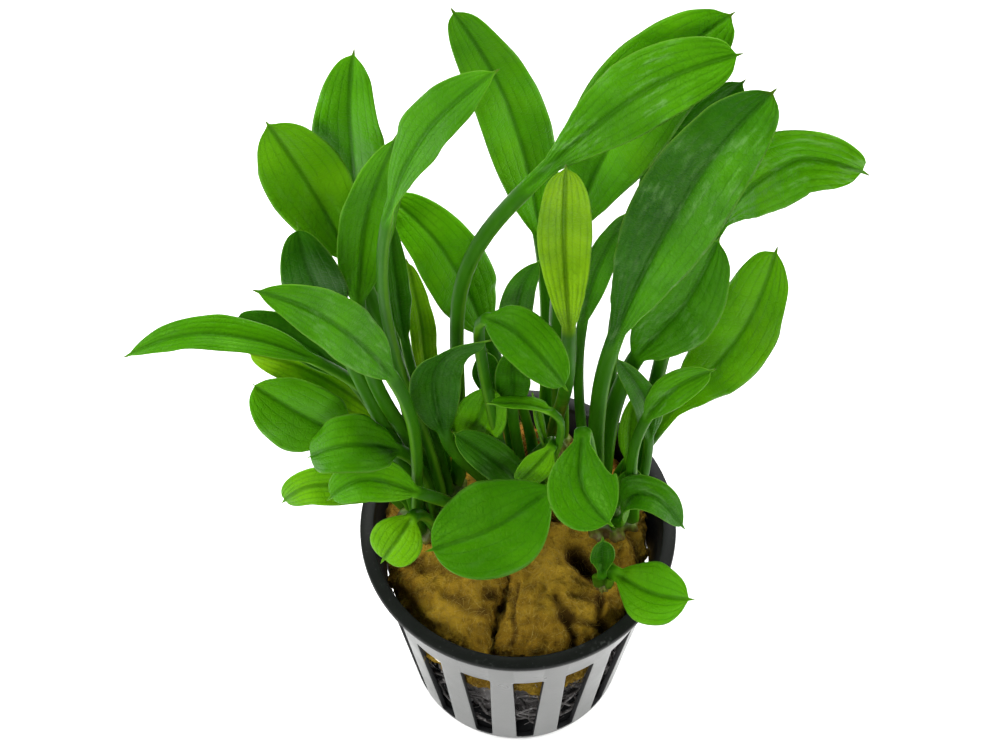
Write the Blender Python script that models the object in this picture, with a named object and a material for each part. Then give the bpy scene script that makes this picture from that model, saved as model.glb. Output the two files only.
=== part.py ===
"""Amazon sword plant in a slotted net pot: pot, root mat, rockwool, crowns and single leaves.

The tables are in millimetres and mm() turns a point into metres.  The origin is the centre of
the pot's underside, with +X to the right, +Y to the back and +Z up.
"""
import math

import bmesh
import bpy
from mathutils import Quaternion, Vector

# ---- driving dimensions, millimetres -------------------------------------------------
POT_HEIGHT = 43.5
RIM_RADIUS = 25.0
RIM_WIDTH = 2.2
RIM_DEPTH = 1.1
LIP_OVERHANG = 1.5
BASE_RADIUS = 17.3
WALL = 0.9
FLOOR = 1.1

SLOT_COUNT = 16
SLOT_TURN = -85.0           # direction of the first slot, degrees from +X
SLOT_TOP = 31.6
SLOT_FOOT = 1.3
SLOT_HALF_TOP = 6.5         # half the angle that a slot spans at its top, degrees
SLOT_HALF_FOOT = 4.55
DRAIN_INNER = 9.5
DRAIN_OUTER = 14.0
DRAIN_HALF = 6.0

GAP = 0.4                   # clearance between neighbouring pieces
MAT_TOP = 19.0
PLUG_TOP = 42.8
PLUG_RADIUS = 21.3
PLUG_SIDE = 20.3            # the plug is trimmed to this on its left and right
PLUG_FOOT_RADIUS = 17.9
MAT_FOOT_RADIUS = 15.0
FISSURES = (-102.0, 25.0, 150.0)   # directions of the splits between the three blocks

CROWN_TOP = 45.5
SEAT_RISE = 1.0             # a leaf stalk's foot over the crown's top

STALK_HALF = 1.0            # half a leaf stalk's width
STALK_DEPTH = 1.5
BLADE_DEPTH = 0.6
TIP_HALF = 0.25
LIGHT = Vector((0.0, -0.5, 0.86)).normalized()   # the side that an unrolled blade faces

# name: (x, y) of the crown's middle and its radius
CROWNS = {
    "crown_left": ((-13.0, 3.0), 7.5),
    "crown_centre": ((0.5, 6.0), 6.0),
    "crown_back": ((5.5, 15.5), 3.6),
    "crown_right": ((14.0, 3.0), 6.5),
    "crown_plantlet": ((13.5, -10.0), 2.6),
}

# Leaves.  Each row holds the stalk's seat on its crown (x, y), then the blade's base, belly and
# tip (x, y, z), its width, its roll about the midrib from facing LIGHT and the lift of its two
# halves in degrees, where along the blade it is widest, and how far the stalk runs straight up.
LEAVES = {
    "leaf_left_01": ((-15, 6), (-24, 8, 108), (-30, 15, 117), (-35, 15, 132), 12, 0, 12, 0.5, 0.35),
    "leaf_left_02": ((-14, 9), (-23, 21, 92), (-24, 20, 123), (-23, 23, 138), 11.5, -16, 12, 0.5, 0.35),
    "leaf_left_03": ((-13.5, 4.5), (-23, 3, 104), (-21.5, 10, 117), (-17, 13, 132), 6.5, 32, 14, 0.45, 0.35),
    "leaf_left_04": ((-12, 2.5), (-18.5, 3.2, 124), (-13, 5, 143), (-3, 6, 157), 7.5, -20, 12, 0.5, 0.35),
    "leaf_left_05": ((-15.5, 0), (-26.5, 2.8, 98), (-29.6, 2.4, 115), (-31, 6, 121), 9, -6, 10, 0.55, 0.35),
    "leaf_left_06": ((-11.0, 4.5), (-17, 11, 79), (-18, 12, 94), (-19, 16, 108), 4, 30, 14, 0.5, 0.35),
    "leaf_left_07": ((-11.5, 9), (-14, 16, 55), (-15, 17, 75), (-17, 20, 90), 4.5, 26, 14, 0.5, 0.35),
    "leaf_left_08": ((-15.5, -2.5), (-18, -4, 95), (-27, -7, 117), (-36, -9, 127), 8.5, 14, 12, 0.5, 0.35),
    "leaf_left_09": ((-16.5, 4.5), (-29, 4, 86), (-45, 4, 94), (-58, 3, 89), 6, 26, 14, 0.5, 0.45),
    "leaf_left_10": ((-18.5, 6.0), (-26, 8, 76), (-33, 9, 85), (-43, 11, 88), 6, 6, 10, 0.45, 0.35),
    "leaf_left_11": ((-12.0, 7.0), (-19, 9, 58), (-32, 10, 74), (-42, 12, 76), 7.5, -8, 12, 0.5, 0.35),
    "leaf_left_12": ((-19, 3.5), (-27, 5, 62), (-34.5, 4, 73), (-40.5, 5, 79), 12.5, -20, 10, 0.5, 0.35),
    "leaf_left_13": ((-13, 0.5), (-18, -1, 69), (-25, -4, 76), (-32, -3, 70), 9, 14, 10, 0.5, 0.35),
    "leaf_left_14": ((-17.0, 2.0), (-19, 2, 50), (-31, 0, 56), (-37, 0, 50), 6.5, -15, 10, 0.5, 0.35),
    "leaf_left_15": ((-9.5, 0.0), (-15, -6, 65), (-23, -6, 69), (-29, -7, 64), 7, 5, 12, 0.5, 0.35),
    "leaf_left_16": ((-13, -2.5), (-16, -8, 61), (-18, -11, 60), (-21, -13, 55), 8.2, 0, 10, 0.5, 0.35),
    "leaf_left_17": ((-9.5, 8), (0, 13, 118), (16, 14, 141), (29, 14, 150), 10.5, 0, 12, 0.68, 0.62),
    "leaf_centre_01": ((-0.5, 10.5), (-5, 16, 74), (-12, 18, 97), (-20, 24, 101), 10.5, 8, 10, 0.5, 0.35),
    "leaf_centre_02": ((-3.5, 3.5), (-11, 1, 70), (-12, 2, 89), (-4, 1, 98), 8, 16, 14, 0.5, 0.35),
    "leaf_centre_03": ((-1.5, 2.5), (-5, 2.2, 102), (0, -2, 104.5), (7, -8, 99), 8, -8, 12, 0.5, 0.35),
    "leaf_centre_04": ((2.5, 10.0), (-1, 7, 86), (0, 7, 102), (3, 8, 109), 5, -4, 12, 0.5, 0.35),
    "leaf_centre_05": ((-1.5, 6.5), (-8, 3.6, 64), (-6, 3.6, 72), (-4, 4.6, 80), 8.5, 13, 12, 0.5, 0.35),
    "leaf_centre_06": ((-3.0, 8.5), (-4, 9, 67), (-5, 11, 71), (-5, 11, 79), 4.5, 0, 10, 0.5, 0.35),
    "leaf_centre_07": ((1.0, 5.0), (-1, 6, 69), (-1, 6, 77), (-1, 5, 90), 5.5, -4, 10, 0.5, 0.35),
    "leaf_centre_08": ((3.5, 3.0), (5, -1, 81), (0, 1, 80), (-5, 0, 82), 4, 58, 10, 0.5, 0.35),
    "leaf_centre_09": ((4.0, 5.5), (4, 3, 65), (3, 4, 70), (2, 6, 75), 2.5, 50, 10, 0.5, 0.35),
    "leaf_centre_10": ((1.0, 2.5), (3, -3, 58), (-4, 0, 65), (-10, -1, 75), 6, 4, 12, 0.5, 0.35),
    "leaf_centre_11": ((1.0, 8.0), (5, -1, 71), (3, -3, 69), (-1, -5, 65), 5, -22, 14, 0.5, 0.35),
    "leaf_back_01": ((4.5, 17.5), (3, 23, 91), (-2, 27, 120), (-10, 29, 140), 10, 0, 10, 0.5, 0.35),
    "leaf_back_02": ((6.5, 16), (7, 17, 99), (16, 19, 133), (28, 20, 151), 14, 0, 12, 0.58, 0.35),
    "leaf_back_03": ((5.5, 13.5), (7, 2, 98), (6, 8, 115), (6, 9, 131), 8, 4, 14, 0.58, 0.35),
    "leaf_right_01": ((12, 3), (13, 4, 89), (23, 5, 132), (33, 7, 152), 13, 0, 12, 0.62, 0.35),
    "leaf_right_02": ((13.5, 8), (17, 14, 108), (23, 17, 126), (30, 17, 140), 8, 0, 12, 0.5, 0.35),
    "leaf_right_03": ((18.5, 6.1), (27, 14, 105), (37, 10.5, 133), (47, 7, 132), 10.5, 8, 12, 0.56, 0.35),
    "leaf_right_04": ((13, 5), (17, 8, 81), (24, 9, 96), (28, 10, 112), 11.5, 0, 16, 0.5, 0.35),
    "leaf_right_05": ((16.5, 7.5), (21, 12, 52), (33, 12, 83), (37, 15, 102), 11.5, -12, 12, 0.62, 0.35),
    "leaf_right_06": ((10.5, 5.5), (9, 8, 90), (11, 9, 105), (15, 9, 120), 4.5, 0, 12, 0.5, 0.35),
    "leaf_right_07": ((18.0, 0.0), (19, 3, 72), (23, 5, 78), (29, 5, 84), 5.5, 8, 14, 0.5, 0.35),
    "leaf_right_08": ((19, 2.5), (20, 5.8, 61), (19, 6, 73), (14, 5, 87), 4.5, 0, 14, 0.4, 0.35),
    "leaf_right_09": ((15.5, 4.5), (17, 5, 55), (17, 7, 64), (18, 10, 69), 3.5, -8, 14, 0.5, 0.35),
    "leaf_right_10": ((15, -1), (16, -2, 49), (20, -4, 62), (26, -5, 52), 7.5, 10, 16, 0.5, 0.35),
    "leaf_right_11": ((14.5, 2.0), (15, 1, 49), (17, 3, 51), (18, 3, 58), 4.5, 3, 12, 0.5, 0.35),
    "leaf_right_12": ((12.5, -0.5), (10, -6, 85), (8, -12, 78), (14, -19, 79), 11.5, 12, 10, 0.6, 0.35),
    "leaf_right_13": ((10, 0), (5, -7, 68), (-3, -12, 66), (-14, -15, 63), 15, 0, 8, 0.5, 0.35),
    "leaf_plantlet_01": ((12.5, -10.5), (13, -12, 50), (13, -10, 51), (13, -9, 57), 4, 8, 10, 0.5, 0.35),
    "leaf_plantlet_02": ((14.5, -9.5), (15, -10, 47), (21, -15, 50), (27, -18, 54), 10, 0, 8, 0.55, 0.35),
}

# distance along the blade and share of the full width there
OUTLINE = ((0.0, 0.0), (0.10, 0.42), (0.27, 0.83), (0.48, 1.0), (0.68, 0.93), (0.85, 0.62), (0.96, 0.20), (1.0, 0.0))
WIDEST = 0.48
STALK_STATIONS = (0.0, 0.28, 0.54, 0.78)
CURVE_STEPS = 40
PLAIN_BEND = 0.5            # a stalk that runs straight for longer than this is an arched one
SHARP_TURN = 62.0           # degrees between a stalk and its blade that make a tight bend
SHARP_TURN = 125.0          # degrees between a stalk and its blade that make a tight bend


def mm(*values):
    """A point given in millimetres, as metres."""
    return Vector(values) * 0.001


def material(name, colour, roughness, metallic=0.0):
    made = bpy.data.materials.new(name)
    made.use_nodes = True
    made.diffuse_color = (*colour, 1.0)
    shader = made.node_tree.nodes["Principled BSDF"]
    shader.inputs["Base Color"].default_value = (*colour, 1.0)
    shader.inputs["Roughness"].default_value = roughness
    shader.inputs["Metallic"].default_value = metallic
    return made


def add_object(name, bm, finish, smooth_angle=35.0):
    """Turn a closed bmesh into an object with outward faces, smooth where it is round."""
    bmesh.ops.recalc_face_normals(bm, faces=bm.faces)
    mesh = bpy.data.meshes.new(name)
    bm.to_mesh(mesh)
    bm.free()
    mesh.materials.append(finish)
    mesh.shade_smooth()
    mesh.set_sharp_from_angle(angle=math.radians(smooth_angle))
    made = bpy.data.objects.new(name, mesh)
    bpy.context.scene.collection.objects.link(made)
    return made


def polar(radius, degrees, height):
    turn = math.radians(degrees)
    return mm(radius * math.cos(turn), radius * math.sin(turn), height)


# ---- pot -----------------------------------------------------------------------------
def wall_radius(height):
    """Outer radius of the tapering wall."""
    top = POT_HEIGHT - RIM_DEPTH
    share = height / top
    return BASE_RADIUS + (RIM_RADIUS - LIP_OVERHANG - BASE_RADIUS) * share


def ring_of(bm, radius, height, half):
    """One ring of corners: the two sides of each slot, its middle and the rib's middle."""
    step = 360.0 / SLOT_COUNT
    corners = []
    for slot in range(SLOT_COUNT):
        middle = SLOT_TURN + slot * step
        for turn in (middle - half, middle, middle + half, middle + step / 2):
            corners.append(bm.verts.new(polar(radius, turn, height)))
    return corners


def in_opening(column, every):
    """Whether this column of faces, counted round the pot, lies in a slot that is cut."""
    return column % 4 < 2 and (column // 4) % every == 0


def band(bm, upper, lower, every=0):
    """Faces between two rings, left out in every so many slots."""
    count = len(upper)
    for column in range(count):
        if every and in_opening(column, every):
            continue
        after = (column + 1) % count
        bm.faces.new((upper[column], upper[after], lower[after], lower[column]))


def line_opening(bm, outer_top, outer_foot, inner_top, inner_foot, every):
    """The four sides of each cut slot, between the outer and the inner skin."""
    for slot in range(0, SLOT_COUNT, every):
        left, middle, right = (slot * 4 + corner for corner in range(3))
        for side in (left, right):
            bm.faces.new((outer_top[side], outer_foot[side], inner_foot[side], inner_top[side]))
        for first, second in ((left, middle), (middle, right)):
            bm.faces.new((outer_top[first], outer_top[second], inner_top[second], inner_top[first]))
            bm.faces.new((outer_foot[first], outer_foot[second], inner_foot[second], inner_foot[first]))


def centre_fan(bm, ring, height):
    middle = bm.verts.new(mm(0.0, 0.0, height))
    for index, corner in enumerate(ring):
        bm.faces.new((corner, ring[(index + 1) % len(ring)], middle))


def make_pot(finish):
    """Tapered cup with a flat rim, slots down its wall and drains in its floor."""
    bm = bmesh.new()
    rim_foot = POT_HEIGHT - RIM_DEPTH
    slot_top_radius = wall_radius(SLOT_TOP)
    slot_foot_radius = wall_radius(SLOT_FOOT)
    outer = {
        "rim_inner": ring_of(bm, RIM_RADIUS - RIM_WIDTH, POT_HEIGHT, SLOT_HALF_TOP),
        "rim_outer": ring_of(bm, RIM_RADIUS, POT_HEIGHT, SLOT_HALF_TOP),
        "lip": ring_of(bm, RIM_RADIUS, rim_foot + 0.2, SLOT_HALF_TOP),
        "wall": ring_of(bm, wall_radius(rim_foot), rim_foot, SLOT_HALF_TOP),
        "slot_top": ring_of(bm, slot_top_radius, SLOT_TOP, SLOT_HALF_TOP),
        "slot_foot": ring_of(bm, slot_foot_radius, SLOT_FOOT, SLOT_HALF_FOOT),
        "base": ring_of(bm, BASE_RADIUS, 0.0, SLOT_HALF_FOOT),
        "drain_outer": ring_of(bm, DRAIN_OUTER, 0.0, DRAIN_HALF),
        "drain_inner": ring_of(bm, DRAIN_INNER, 0.0, DRAIN_HALF),
    }
    inner = {
        "rim_foot": ring_of(bm, RIM_RADIUS - RIM_WIDTH, rim_foot, SLOT_HALF_TOP),
        "wall": ring_of(bm, wall_radius(rim_foot) - WALL, rim_foot - 0.2, SLOT_HALF_TOP),
        "slot_top": ring_of(bm, slot_top_radius - WALL, SLOT_TOP, SLOT_HALF_TOP),
        "slot_foot": ring_of(bm, slot_foot_radius - WALL, SLOT_FOOT, SLOT_HALF_FOOT),
        "floor": ring_of(bm, BASE_RADIUS - WALL, FLOOR, SLOT_HALF_FOOT),
        "drain_outer": ring_of(bm, DRAIN_OUTER, FLOOR, DRAIN_HALF),
        "drain_inner": ring_of(bm, DRAIN_INNER, FLOOR, DRAIN_HALF),
    }
    cuts = {"slot_foot": 1, "drain_inner": 2}
    for skin in (outer, inner):
        names = list(skin)
        for above, below in zip(names, names[1:]):
            band(bm, skin[above], skin[below], cuts.get(below, 0))
    band(bm, outer["rim_inner"], inner["rim_foot"])
    for top, foot, every in (("slot_top", "slot_foot", 1), ("drain_outer", "drain_inner", 2)):
        line_opening(bm, outer[top], outer[foot], inner[top], inner[foot], every)
    centre_fan(bm, outer["drain_inner"], 0.0)
    centre_fan(bm, inner["drain_inner"], FLOOR)
    return add_object("net_pot", bm, finish)


# ---- growing medium ------------------------------------------------------------------
def extrude_through(bm, outlines):
    """A closed solid through outlines that have the same number of points."""
    face = bm.faces.new([bm.verts.new(point) for point in outlines[0]])
    foot = face
    for outline in outlines[1:]:
        made = bmesh.ops.extrude_face_region(bm, geom=[face], use_keep_orig=True)["geom"]
        if face is not foot:
            bm.faces.remove(face)
        face = next(item for item in made if isinstance(item, bmesh.types.BMFace))
        for corner, point in zip(face.verts, outline):
            corner.co = point


def lobed(radius, degrees):
    """The plug's uneven outline."""
    turn = math.radians(degrees)
    return radius * (1.0 + 0.018 * math.sin(5 * turn + 0.8) + 0.012 * math.sin(9 * turn))


def block_outline(start, end, radius, height, inset=0.0):
    """A wedge of the plug between two fissures, moved out along its middle by the gap."""
    middle = math.radians((start + end) / 2)
    spread = math.radians((end - start) / 2)
    shift = (GAP / 2 + inset) / math.sin(spread)
    points = [mm(0.0, 0.0, height)]
    steps = 9
    for step in range(steps + 1):
        point = polar(lobed(radius - inset, start + (end - start) * step / steps), start
                      + (end - start) * step / steps, height)
        point.x = max(-PLUG_SIDE * 0.001, min(PLUG_SIDE * 0.001, point.x))
        points.append(point)
    move = mm(shift * math.cos(middle), shift * math.sin(middle), 0.0)
    half_gap = mm(GAP / 2 * math.cos(middle), GAP / 2 * math.sin(middle), 0.0)
    return [points[0] + move] + [point + (move if index in (0, steps) else half_gap)
                                 for index, point in enumerate(points[1:])]


def make_block(name, start, end, finish):
    """One block of rockwool with rounded shoulders."""
    bm = bmesh.new()
    layers = (
        (PLUG_FOOT_RADIUS, MAT_TOP + GAP, 0.6),
        (PLUG_FOOT_RADIUS + 0.5, MAT_TOP + 2.0, 0.0),
        (PLUG_RADIUS - 0.4, PLUG_TOP - 5.0, 0.0),
        (PLUG_RADIUS, PLUG_TOP - 2.2, 0.1),
        (PLUG_RADIUS, PLUG_TOP, 1.6),
    )
    extrude_through(bm, [block_outline(start, end, radius, height, inset)
                         for radius, height, inset in layers])
    return add_object(name, bm, finish, 50.0)


def make_root_mat(finish):
    """The pad of fine roots under the rockwool, resting on the pot's floor."""
    bm = bmesh.new()
    layers = ((MAT_FOOT_RADIUS - 1.0, FLOOR + GAP), (MAT_FOOT_RADIUS, FLOOR + GAP + 1.0),
              (PLUG_FOOT_RADIUS - 0.4, MAT_TOP - 1.0), (PLUG_FOOT_RADIUS - 1.4, MAT_TOP))
    steps = 20
    outlines = []
    for radius, height in layers:
        turns = [360.0 * step / steps for step in range(steps)]
        outlines.append([polar(lobed(radius, turn) - 0.4, turn, height) for turn in turns])
    extrude_through(bm, outlines)
    return add_object("root_mat", bm, finish, 50.0)


def make_crown(name, centre, radius, finish):
    """The short stem that a tuft of leaves grows from: a low tapering knob."""
    bm = bmesh.new()
    height = CROWN_TOP - PLUG_TOP - GAP
    bmesh.ops.create_cone(bm, cap_ends=True, segments=18, radius1=radius * 0.001,
                          radius2=radius * 0.0009, depth=height * 0.001)
    middle = mm(*centre, PLUG_TOP + GAP + height / 2)
    bmesh.ops.translate(bm, verts=bm.verts, vec=middle)
    return add_object(name, bm, finish, 50.0)


# ---- leaves --------------------------------------------------------------------------
def bezier(start, start_handle, end_handle, end, share):
    rest = 1.0 - share
    return (start * rest ** 3 + start_handle * 3 * rest ** 2 * share
            + end_handle * 3 * rest * share ** 2 + end * share ** 3)


def bezier_points(start, start_pull, end_pull, end):
    """Points along a curve that leaves start along start_pull and reaches end along end_pull."""
    return [bezier(start, start + start_pull, end - end_pull, end, step / CURVE_STEPS)
            for step in range(CURVE_STEPS + 1)]


def spine_curves(seat, base, belly, tip, bend):
    """The stalk's and the blade's middle lines, as two lists of close points."""
    stalk, half, rest = base - seat, belly - base, tip - belly
    arched = bend > PLAIN_BEND
    rise = Vector((0.0, 0.0, 4.0 if arched else 0.9))
    leave = (stalk.normalized() + rise).normalized()
    enter = (half.normalized() * 0.6 + stalk.normalized() * (0.1 if arched else 0.4)).normalized()
    along = (tip - base).normalized()
    droop = (rest + (rest - half) * 0.25).normalized()
    tight = stalk.angle(half) > math.radians(SHARP_TURN)
    pull = 0.12 if tight else 0.35
    stalk_line = bezier_points(seat, leave * stalk.length * bend, enter * stalk.length * pull, base)
    first = bezier_points(base, enter * half.length * 0.33, along * half.length * 0.33, belly)
    second = bezier_points(belly, along * rest.length * 0.33, droop * rest.length * 0.33, tip)
    return stalk_line, first + second[1:]


def at_shares(line, shares):
    """Points at the given shares of a line's length."""
    reached = [0.0]
    for before, after in zip(line, line[1:]):
        reached.append(reached[-1] + (after - before).length)
    found = []
    for share in shares:
        goal = share * reached[-1]
        index = max(i for i, length in enumerate(reached[:-1]) if length <= goal)
        part = (goal - reached[index]) / (reached[index + 1] - reached[index])
        found.append(line[index].lerp(line[index + 1], part))
    return found


def frames(points, belly_index, roll):
    """Direction, side and upward normal at each station, carried along without twist."""
    count = len(points)
    ways = [(points[min(i + 1, count - 1)] - points[max(i - 1, 0)]).normalized() for i in range(count)]
    way = ways[belly_index]
    facing = (LIGHT - way * LIGHT.dot(way)).normalized()
    facing.rotate(Quaternion(way, math.radians(roll)))
    normals = {belly_index: facing}
    for order in (range(belly_index + 1, count), range(belly_index - 1, -1, -1)):
        carried = facing
        for index in order:
            carried = (carried - ways[index] * carried.dot(ways[index])).normalized()
            normals[index] = carried
    return [(ways[i], ways[i].cross(normals[i]), normals[i]) for i in range(count)]


def make_leaf(name, row, finish):
    """One leaf: a six-sided stalk that widens into a thin trough-shaped blade."""
    seat_xy, base, belly, tip, width, roll, lift, widest, bend = row
    seat = mm(*seat_xy, CROWN_TOP + SEAT_RISE)
    stalk_line, blade_line = spine_curves(seat, mm(*base), mm(*belly), mm(*tip), bend)
    stretch = math.log(widest) / math.log(WIDEST)
    points = at_shares(stalk_line, STALK_STATIONS)
    points += at_shares(blade_line, [share ** stretch for share, _ in OUTLINE])
    stalk_count = len(STALK_STATIONS)
    rings = []
    for index, (_, side, normal) in enumerate(frames(points, stalk_count + 3, roll)):
        along = index - stalk_count
        if along <= 0:
            half, depth, inner, angle = STALK_HALF, STALK_DEPTH, 0.55, 0.0
        else:
            share, full = OUTLINE[along]
            half = max(full * width / 2, TIP_HALF)
            depth = BLADE_DEPTH * (1.0 - 0.4 * share)
            inner, angle = 0.45, math.radians(lift)
        ring = []
        for across, level in ((1, 0), (inner, 1), (-inner, 1), (-1, 0), (-inner, -1), (inner, -1)):
            out = side * (across * half * math.cos(angle))
            up = normal * (abs(across) * half * math.sin(angle) + level * depth / 2)
            ring.append(points[index] + (out + up) * 0.001)
        rings.append(ring)
    bm = bmesh.new()
    extrude_through(bm, rings)
    return add_object(name, bm, finish, 60.0)


def main():
    for old in list(bpy.data.objects):
        bpy.data.objects.remove(old, do_unlink=True)
    pot_finish = material("pot_plastic", (0.045, 0.048, 0.052), 0.42)
    wool_finish = material("rockwool", (0.30, 0.17, 0.04), 0.95)
    root_finish = material("roots", (0.05, 0.04, 0.03), 0.9)
    crown_finish = material("crown_tissue", (0.20, 0.32, 0.05), 0.6)
    leaf_finish = material("leaf_green", (0.06, 0.27, 0.01), 0.38)
    make_pot(pot_finish)
    make_root_mat(root_finish)
    starts = FISSURES
    ends = (*FISSURES[1:], FISSURES[0] + 360.0)
    for side, start, end in zip(("right", "back", "left"), starts, ends):
        make_block("rockwool_" + side, start, end, wool_finish)
    for name, (centre, radius) in CROWNS.items():
        make_crown(name, centre, radius, crown_finish)
    for name, row in LEAVES.items():
        make_leaf(name, row, leaf_finish)


main()
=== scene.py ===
# Amazon sword plant, rooted in rockwool in a small slotted net pot: the looks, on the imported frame.
import math
import random

import bmesh
import bpy
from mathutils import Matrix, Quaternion, Vector, noise
from mathutils.geometry import interpolate_bezier


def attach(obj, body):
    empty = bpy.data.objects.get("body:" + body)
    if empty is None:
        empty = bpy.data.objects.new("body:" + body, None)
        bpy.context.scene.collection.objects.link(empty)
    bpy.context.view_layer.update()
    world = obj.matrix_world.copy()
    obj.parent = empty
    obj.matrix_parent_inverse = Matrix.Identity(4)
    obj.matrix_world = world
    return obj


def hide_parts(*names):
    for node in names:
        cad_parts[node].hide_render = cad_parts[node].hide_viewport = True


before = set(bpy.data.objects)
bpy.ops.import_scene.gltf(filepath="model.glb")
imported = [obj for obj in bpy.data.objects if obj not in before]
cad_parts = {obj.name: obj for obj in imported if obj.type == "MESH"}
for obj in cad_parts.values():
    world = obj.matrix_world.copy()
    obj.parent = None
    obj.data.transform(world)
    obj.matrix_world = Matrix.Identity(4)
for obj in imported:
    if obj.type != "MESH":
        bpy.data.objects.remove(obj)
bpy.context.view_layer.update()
print("frame loaded:", len(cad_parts), "nodes")


def mm(*values):
    return Vector(values) * 0.001


def smoothStep(low, high, value):
    share = min(1.0, max(0.0, (value - low) / (high - low)))
    return share * share * (3.0 - 2.0 * share)


def addPiece(name, mesh, materials, nodes=()):
    for finish in materials:
        mesh.materials.append(finish)
    mesh.shade_smooth()
    piece = bpy.data.objects.new(name, mesh)
    bpy.context.scene.collection.objects.link(piece)
    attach(piece, "root")
    if nodes:
        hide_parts(*nodes)


def meshOf(bm, name):
    mesh = bpy.data.meshes.new(name)
    bm.to_mesh(mesh)
    bm.free()
    return mesh


# Node helpers: each gives back the output socket that the next one takes.
def putIn(tree, socket, value):
    if isinstance(value, bpy.types.NodeSocket):
        tree.links.new(value, socket)
    else:
        socket.default_value = value


def addNode(tree, kind, inputs=None, **settings):
    node = tree.nodes.new(kind)
    for key, value in settings.items():
        setattr(node, key, value)
    for key, value in (inputs or {}).items():
        putIn(tree, node.inputs[key], value)
    return node


def sums(tree, operation, first, second=0.0, third=0.0):
    node = addNode(tree, "ShaderNodeMath", {0: first, 1: second, 2: third}, operation=operation)
    return node.outputs[0]


def times(tree, first, second):
    return sums(tree, "MULTIPLY", first, second)


def spread(tree, value, fromLow, fromHigh, toLow=0.0, toHigh=1.0):
    node = addNode(tree, "ShaderNodeMapRange", {"Value": value, "From Min": fromLow, "From Max": fromHigh,
                                                "To Min": toLow, "To Max": toHigh},
                   interpolation_type="SMOOTHSTEP")
    return node.outputs["Result"]


def blendColour(tree, share, first, second):
    node = addNode(tree, "ShaderNodeMix", data_type="RGBA")
    for key, value in ((0, share), (6, first), (7, second)):
        putIn(tree, node.inputs[key], value)
    return node.outputs[2]


def readValue(tree, name):
    return addNode(tree, "ShaderNodeAttribute", attribute_name=name).outputs["Fac"]


def grain(tree, place, scale, detail=3.0, rough=0.55, warp=0.0):
    node = addNode(tree, "ShaderNodeTexNoise", {"Vector": place, "Scale": scale, "Detail": detail,
                                                "Roughness": rough, "Distortion": warp})
    return node.outputs["Fac"]


def objectPlace(tree, stretch=(1.0, 1.0, 1.0)):
    place = addNode(tree, "ShaderNodeTexCoord").outputs["Object"]
    if stretch == (1.0, 1.0, 1.0):
        return place
    return addNode(tree, "ShaderNodeMapping", {"Vector": place, "Scale": stretch}).outputs[0]


def newMaterial(name, **sockets):
    made = bpy.data.materials.new(name)
    made.use_nodes = True
    tree = made.node_tree
    shader = tree.nodes["Principled BSDF"]
    for key, value in sockets.items():
        shader.inputs[key.replace("_", " ")].default_value = value
    return made, tree, shader


def bumpFrom(tree, height, distance, strength):
    node = addNode(tree, "ShaderNodeBump", {"Height": height, "Distance": distance, "Strength": strength})
    return node.outputs["Normal"]


def roundedOff(bm, passes):
    for _ in range(passes):
        bmesh.ops.smooth_vert(bm, verts=bm.verts, factor=0.5,
                              use_axis_x=True, use_axis_y=True, use_axis_z=True)
    bm.normal_update()


# Camera, light and floor, in metres and watts.
studio = {
    "cameraPlace": (0.0, -0.23389, 0.48546),
    "cameraLook": (-0.00622, 0.50915, -0.86065),
    "lens": 113.8,
    "sensor": 36.0,
    "worldStrength": 0.16,
    "floorHalf": 2.5,
    "floorColour": (0.93, 0.93, 0.925, 1.0),
    "floorRough": 0.8,
    "clip": (0.01, 20.0),
}
softboxes = {
    # name: place, aim, side length, power in watts
    "overheadSoftbox": ((0.10, 0.95, 0.95), (0.0, 0.0, 0.08), 0.7, 24.0),
    "leftSoftbox": ((-0.95, -0.05, 0.60), (0.0, 0.0, 0.07), 0.6, 15.0),
    "rightSoftbox": ((0.95, 0.10, 0.60), (0.0, 0.0, 0.07), 0.6, 14.0),
    "frontSoftbox": ((-0.25, -1.1, 0.75), (0.0, 0.0, 0.05), 0.6, 13.0),
}


def buildStudio():
    cameraData = bpy.data.cameras.new("viewCamera")
    cameraData.lens = studio["lens"]
    cameraData.sensor_width = studio["sensor"]
    cameraData.clip_start, cameraData.clip_end = studio["clip"]
    camera = bpy.data.objects.new("viewCamera", cameraData)
    camera.location = studio["cameraPlace"]
    camera.rotation_mode = "QUATERNION"
    camera.rotation_quaternion = Vector(studio["cameraLook"]).to_track_quat("-Z", "Y")
    bpy.context.scene.collection.objects.link(camera)
    bpy.context.scene.camera = camera
    bpy.context.scene.view_settings.view_transform = "Standard"

    for name, (place, aim, side, power) in softboxes.items():
        lightData = bpy.data.lights.new(name, "AREA")
        lightData.shape = "SQUARE"
        lightData.size = side
        lightData.energy = power
        light = bpy.data.objects.new(name, lightData)
        light.location = place
        light.rotation_mode = "QUATERNION"
        light.rotation_quaternion = (Vector(aim) - Vector(place)).to_track_quat("-Z", "Y")
        bpy.context.scene.collection.objects.link(light)

    world = bpy.data.worlds.new("softRoom")
    world.use_nodes = True
    background = world.node_tree.nodes["Background"]
    background.inputs["Color"].default_value = (1.0, 1.0, 1.0, 1.0)
    background.inputs["Strength"].default_value = studio["worldStrength"]
    bpy.context.scene.world = world

    bm = bmesh.new()
    bmesh.ops.create_grid(bm, x_segments=2, y_segments=2, size=studio["floorHalf"])
    floor = bpy.data.objects.new("studioFloor", meshOf(bm, "studioFloor"))
    finish, _, _ = newMaterial("floorPaint", Roughness=studio["floorRough"], Base_Color=studio["floorColour"])
    floor.data.materials.append(finish)
    bpy.context.scene.collection.objects.link(floor)


buildStudio()
print("studio ready")

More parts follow.
